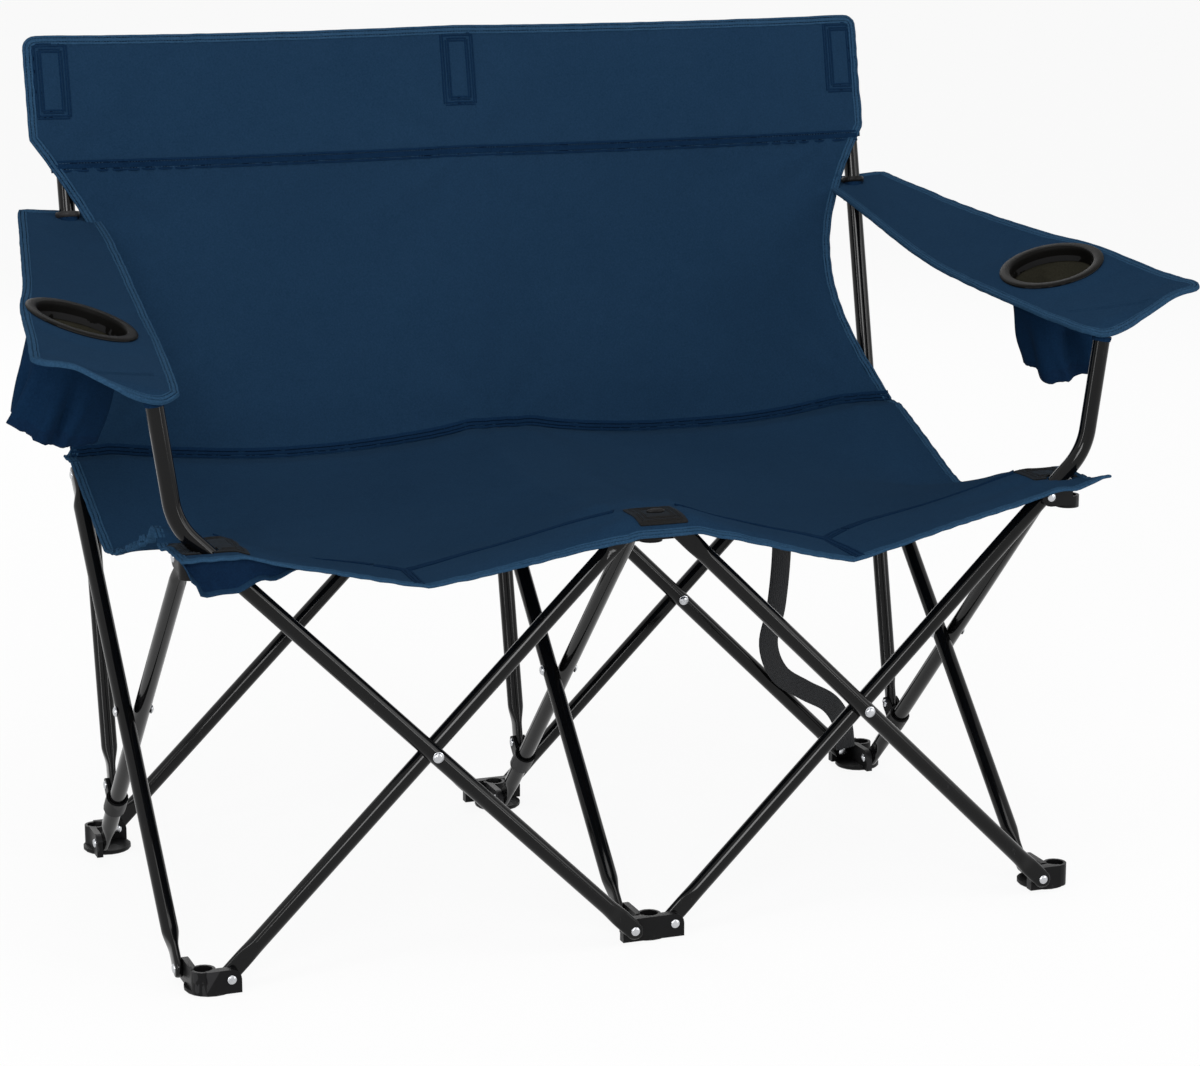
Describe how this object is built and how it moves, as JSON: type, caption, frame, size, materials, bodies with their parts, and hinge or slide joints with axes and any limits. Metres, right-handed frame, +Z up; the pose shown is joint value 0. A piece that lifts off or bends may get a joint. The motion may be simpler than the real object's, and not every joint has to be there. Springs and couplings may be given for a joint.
{
  "type": "folding camping loveseat",
  "caption": "Two-seat folding camp chair with a crossed steel tube frame, hanging navy fabric seat and back, and fabric arms with a sewn cup pouch on each side.",
  "frame": {"origin": "middle of the outline on the floor, under the seat", "axes": "+X is the right side seen from the front, +Y points to the back, +Z up; the seat faces -Y"},
  "size_m": [1.2792, 0.644, 0.917],
  "materials": {
    "black_tube": "glossy black powder coat on round steel tube, bare steel rivet heads",
    "grey_tube": "glossy near-black powder coat on round steel tube",
    "black_plastic": "moulded nylon, fine satin grain",
    "steel": "zinc-plated rivet, bright",
    "navy_fabric": "coated navy polyester, plain weave with double-stitched hems",
    "patch": "brown-black coated reinforcement patch with a stitched border",
    "webbing": "black polypropylene webbing"
  },
  "bodies": {
    "foot_front_center": {"foot_front_center": "black_plastic"},
    "side_leg_center_front": {"side_leg_center_front": "grey_tube", "cross_rivet_side_center": "steel"},
    "arm_leg_left": {"arm_leg_left": "black_tube", "arm_cap_left": "black_plastic", "cross_rivet_front_left": "steel"},
    "arm_leg_right": {"arm_leg_right": "black_tube", "arm_cap_right": "black_plastic", "cross_rivet_front_right": "steel"},
    "hub_front_left": {"hub_front_left": "black_plastic", "seat_patch_left": "patch"},
    "hub_front_right": {"hub_front_right": "black_plastic", "seat_patch_right": "patch"},
    "hub_rear_center": {"hub_rear_center": "black_plastic"},
    "side_leg_center_rear": {"side_leg_center_rear": "grey_tube", "post_clip_center": "black_plastic"},
    "hub_front_center": {"hub_front_center": "black_plastic", "seat_patch_center": "patch", "seat_button": "patch"},
    "foot_rear_center": {"foot_rear_center": "black_plastic"},
    "rear_leg_left_outer": {"rear_leg_left_outer": "black_tube"},
    "rear_leg_right_inner": {"rear_leg_right_inner": "black_tube", "cross_rivet_rear_right": "steel"},
    "side_leg_left_rear": {"side_leg_left_rear": "grey_tube", "post_clip_left": "black_plastic"},
    "side_leg_right_rear": {"side_leg_right_rear": "grey_tube", "post_clip_right": "black_plastic"},
    "foot_rear_left": {"foot_rear_left": "black_plastic"},
    "foot_rear_right": {"foot_rear_right": "black_plastic", "carry_strap": "webbing"},
    "front_leg_left": {"front_leg_left": "black_tube"},
    "foot_front_left": {"foot_front_left": "black_plastic"},
    "side_leg_left_front": {"side_leg_left_front": "grey_tube", "cross_rivet_side_left": "steel"},
    "front_leg_right": {"front_leg_right": "black_tube"},
    "foot_front_right": {"foot_front_right": "black_plastic"},
    "side_leg_right_front": {"side_leg_right_front": "grey_tube", "cross_rivet_side_right": "steel"},
    "rear_leg_left_inner": {"rear_leg_left_inner": "black_tube", "cross_rivet_rear_left": "steel"},
    "hub_rear_left": {"hub_rear_left": "black_plastic"},
    "rear_leg_right_outer": {"rear_leg_right_outer": "black_tube"},
    "hub_rear_right": {"hub_rear_right": "black_plastic"},
    "back_post_left": {"back_post_left": "grey_tube", "post_cap_left": "black_plastic"},
    "back_post_center": {"back_post_center": "grey_tube", "post_cap_center": "black_plastic", "backrest": "navy_fabric"},
    "back_post_right": {"back_post_right": "grey_tube", "post_cap_right": "black_plastic"},
    "seat_front": {"seat_front": "navy_fabric"},
    "seat_rear": {"seat_rear": "navy_fabric"},
    "arm_left": {"arm_pad_left": "navy_fabric"},
    "cup_left": {"cup_ring_left": "black_plastic", "cup_pouch_left": "navy_fabric"},
    "arm_right": {"arm_pad_right": "navy_fabric"},
    "cup_right": {"cup_ring_right": "black_plastic", "cup_pouch_right": "navy_fabric"}
  },
  "joints": [
    {"name": "frame_fold", "type": "hinge", "parent": "foot_front_center", "child": "side_leg_center_front", "pos_m": [-0.01897, -0.24949, 0.016], "axis": [1, 0, 0], "range_deg": [0, 41], "deforming": ["seat_front", "seat_rear", "backrest", "arm_pad_left", "arm_pad_right", "cup_pouch_left", "cup_pouch_right", "carry_strap"]},
    {"name": "arm_leg_left_pivot", "type": "hinge", "parent": "foot_front_center", "child": "arm_leg_left", "pos_m": [-0.02397, -0.30649, 0.016], "axis": [0, 1, 0], "range_deg": [0, 41]},
    {"name": "arm_leg_right_pivot", "type": "hinge", "parent": "foot_front_center", "child": "arm_leg_right", "pos_m": [0.02403, -0.28749, 0.016], "axis": [0, 1, 0], "range_deg": [-41, 0]},
    {"name": "hub_front_left_pivot", "type": "hinge", "parent": "arm_leg_left", "child": "hub_front_left", "pos_m": [-0.45614, -0.30649, 0.44366], "axis": [0, 1, 0], "range_deg": [-41, 0]},
    {"name": "hub_front_right_pivot", "type": "hinge", "parent": "arm_leg_right", "child": "hub_front_right", "pos_m": [0.45619, -0.28749, 0.44366], "axis": [0, 1, 0], "range_deg": [0, 41]},
    {"name": "hub_rear_center_pivot", "type": "hinge", "parent": "side_leg_center_front", "child": "hub_rear_center", "pos_m": [-0.01897, 0.18268, 0.44366], "axis": [1, 0, 0], "range_deg": [-41, 0]},
    {"name": "side_leg_center_rear_pivot", "type": "hinge", "parent": "side_leg_center_front", "child": "side_leg_center_rear", "pos_m": [-0.00947, -0.03341, 0.22983], "axis": [1, 0, 0], "range_deg": [-82, 0]},
    {"name": "hub_front_center_pivot", "type": "hinge", "parent": "side_leg_center_rear", "child": "hub_front_center", "pos_m": [0.00003, -0.24949, 0.44366], "axis": [1, 0, 0], "range_deg": [0, 41]},
    {"name": "foot_rear_center_pivot", "type": "hinge", "parent": "side_leg_center_rear", "child": "foot_rear_center", "pos_m": [0.00003, 0.18268, 0.016], "axis": [1, 0, 0], "range_deg": [0, 41]},
    {"name": "rear_leg_left_outer_pivot", "type": "hinge", "parent": "hub_rear_center", "child": "rear_leg_left_outer", "pos_m": [-0.02397, 0.23968, 0.44366], "axis": [0, 1, 0], "range_deg": [-41, 0]},
    {"name": "rear_leg_right_inner_pivot", "type": "hinge", "parent": "hub_rear_center", "child": "rear_leg_right_inner", "pos_m": [0.02403, 0.22068, 0.44366], "axis": [0, 1, 0], "range_deg": [0, 41]},
    {"name": "side_leg_left_rear_pivot", "type": "hinge", "parent": "hub_front_left", "child": "side_leg_left_rear", "pos_m": [-0.48014, -0.24949, 0.44366], "axis": [1, 0, 0], "range_deg": [-41, 0]},
    {"name": "side_leg_right_rear_pivot", "type": "hinge", "parent": "hub_front_right", "child": "side_leg_right_rear", "pos_m": [0.48019, -0.24949, 0.44366], "axis": [1, 0, 0], "range_deg": [-41, 0]},
    {"name": "foot_rear_left_pivot", "type": "hinge", "parent": "side_leg_left_rear", "child": "foot_rear_left", "pos_m": [-0.48014, 0.18268, 0.016], "axis": [1, 0, 0], "range_deg": [0, 41]},
    {"name": "foot_rear_right_pivot", "type": "hinge", "parent": "side_leg_right_rear", "child": "foot_rear_right", "pos_m": [0.48019, 0.18268, 0.016], "axis": [1, 0, 0], "range_deg": [0, 41]},
    {"name": "front_leg_left_pivot", "type": "hinge", "parent": "hub_front_center", "child": "front_leg_left", "pos_m": [-0.02397, -0.28749, 0.44366], "axis": [0, 1, 0], "range_deg": [-41, 0]},
    {"name": "foot_front_left_pivot", "type": "hinge", "parent": "front_leg_left", "child": "foot_front_left", "pos_m": [-0.45614, -0.28749, 0.016], "axis": [0, 1, 0], "range_deg": [0, 41]},
    {"name": "side_leg_left_front_pivot", "type": "hinge", "parent": "foot_front_left", "child": "side_leg_left_front", "pos_m": [-0.49914, -0.24949, 0.016], "axis": [1, 0, 0], "range_deg": [0, 41]},
    {"name": "front_leg_right_pivot", "type": "hinge", "parent": "hub_front_center", "child": "front_leg_right", "pos_m": [0.02403, -0.30649, 0.44366], "axis": [0, 1, 0], "range_deg": [0, 41]},
    {"name": "foot_front_right_pivot", "type": "hinge", "parent": "front_leg_right", "child": "foot_front_right", "pos_m": [0.45619, -0.30649, 0.016], "axis": [0, 1, 0], "range_deg": [-41, 0]},
    {"name": "side_leg_right_front_pivot", "type": "hinge", "parent": "foot_front_right", "child": "side_leg_right_front", "pos_m": [0.46119, -0.24949, 0.016], "axis": [1, 0, 0], "range_deg": [0, 41]},
    {"name": "rear_leg_left_inner_pivot", "type": "hinge", "parent": "foot_rear_center", "child": "rear_leg_left_inner", "pos_m": [-0.02397, 0.22068, 0.016], "axis": [0, 1, 0], "range_deg": [0, 41]},
    {"name": "hub_rear_left_pivot", "type": "hinge", "parent": "rear_leg_left_inner", "child": "hub_rear_left", "pos_m": [-0.45614, 0.22068, 0.44366], "axis": [0, 1, 0], "range_deg": [-41, 0]},
    {"name": "rear_leg_right_outer_pivot", "type": "hinge", "parent": "foot_rear_center", "child": "rear_leg_right_outer", "pos_m": [0.02403, 0.23968, 0.016], "axis": [0, 1, 0], "range_deg": [-41, 0]},
    {"name": "hub_rear_right_pivot", "type": "hinge", "parent": "rear_leg_right_outer", "child": "hub_rear_right", "pos_m": [0.45619, 0.23968, 0.44366], "axis": [0, 1, 0], "range_deg": [0, 41]},
    {"name": "back_post_left_pivot", "type": "hinge", "parent": "side_leg_left_rear", "child": "back_post_left", "pos_m": [-0.48014, 0.1314, 0.09924], "axis": [1, 0, 0], "range_deg": [0, 52.77]},
    {"name": "back_post_center_pivot", "type": "hinge", "parent": "side_leg_center_rear", "child": "back_post_center", "pos_m": [0.00003, 0.1314, 0.09924], "axis": [1, 0, 0], "range_deg": [0, 52.77]},
    {"name": "back_post_right_pivot", "type": "hinge", "parent": "side_leg_right_rear", "child": "back_post_right", "pos_m": [0.48019, 0.1314, 0.09924], "axis": [1, 0, 0], "range_deg": [0, 52.77]},
    {"name": "seat_front_drape", "type": "hinge", "parent": "hub_front_center", "child": "seat_front", "pos_m": [0.00003, -0.23899, 0.4575], "axis": [1, 0, 0], "range_deg": [-79.95, 0]},
    {"name": "seat_rear_drape", "type": "hinge", "parent": "hub_rear_center", "child": "seat_rear", "pos_m": [0.00003, 0.17218, 0.4575], "axis": [1, 0, 0], "range_deg": [0, 79.95]},
    {"name": "arm_left_fold", "type": "hinge", "parent": "back_post_left", "child": "arm_left", "pos_m": [-0.48014, 0.26289, 0.70086], "axis": [-0.7368, 0.5651, 0.3712], "range_deg": [0, 71.95]},
    {"name": "cup_left_gather", "type": "slide", "parent": "arm_left", "child": "cup_left", "axis": [0.0688, 0.9866, 0.1479], "range_m": [0, 0.28596]},
    {"name": "arm_right_fold", "type": "hinge", "parent": "back_post_right", "child": "arm_right", "pos_m": [0.48019, 0.26289, 0.70086], "axis": [-0.7453, -0.5517, -0.3744], "range_deg": [0, 77.32]},
    {"name": "cup_right_gather", "type": "slide", "parent": "arm_right", "child": "cup_right", "axis": [-0.0711, 0.9857, 0.1529], "range_m": [0, 0.28808]}
  ],
  "couplings": [
    {"joint": "arm_leg_left_pivot", "follows": "frame_fold", "ratio": 1},
    {"joint": "arm_leg_right_pivot", "follows": "frame_fold", "ratio": -1},
    {"joint": "hub_front_left_pivot", "follows": "frame_fold", "ratio": -1},
    {"joint": "hub_front_right_pivot", "follows": "frame_fold", "ratio": 1},
    {"joint": "hub_rear_center_pivot", "follows": "frame_fold", "ratio": -1},
    {"joint": "side_leg_center_rear_pivot", "follows": "frame_fold", "ratio": -2},
    {"joint": "hub_front_center_pivot", "follows": "frame_fold", "ratio": 1},
    {"joint": "foot_rear_center_pivot", "follows": "frame_fold", "ratio": 1},
    {"joint": "rear_leg_left_outer_pivot", "follows": "frame_fold", "ratio": -1},
    {"joint": "rear_leg_right_inner_pivot", "follows": "frame_fold", "ratio": 1},
    {"joint": "side_leg_left_rear_pivot", "follows": "frame_fold", "ratio": -1},
    {"joint": "side_leg_right_rear_pivot", "follows": "frame_fold", "ratio": -1},
    {"joint": "foot_rear_left_pivot", "follows": "frame_fold", "ratio": 1},
    {"joint": "foot_rear_right_pivot", "follows": "frame_fold", "ratio": 1},
    {"joint": "front_leg_left_pivot", "follows": "frame_fold", "ratio": -1},
    {"joint": "foot_front_left_pivot", "follows": "frame_fold", "ratio": 1},
    {"joint": "side_leg_left_front_pivot", "follows": "frame_fold", "ratio": 1},
    {"joint": "front_leg_right_pivot", "follows": "frame_fold", "ratio": 1},
    {"joint": "foot_front_right_pivot", "follows": "frame_fold", "ratio": -1},
    {"joint": "side_leg_right_front_pivot", "follows": "frame_fold", "ratio": 1},
    {"joint": "rear_leg_left_inner_pivot", "follows": "frame_fold", "ratio": 1},
    {"joint": "hub_rear_left_pivot", "follows": "frame_fold", "ratio": -1},
    {"joint": "rear_leg_right_outer_pivot", "follows": "frame_fold", "ratio": -1},
    {"joint": "hub_rear_right_pivot", "follows": "frame_fold", "ratio": 1},
    {"joint": "back_post_left_pivot", "follows": "frame_fold", "ratio": 1.287},
    {"joint": "back_post_center_pivot", "follows": "frame_fold", "ratio": 1.287},
    {"joint": "back_post_right_pivot", "follows": "frame_fold", "ratio": 1.287},
    {"joint": "seat_front_drape", "follows": "frame_fold", "ratio": -1.95},
    {"joint": "seat_rear_drape", "follows": "frame_fold", "ratio": 1.95},
    {"joint": "arm_left_fold", "follows": "frame_fold", "ratio": 1.7549},
    {"joint": "cup_left_gather", "follows": "frame_fold", "m_per_rad": 0.3996},
    {"joint": "arm_right_fold", "follows": "frame_fold", "ratio": 1.8859},
    {"joint": "cup_right_gather", "follows": "frame_fold", "m_per_rad": 0.40256}
  ]
}
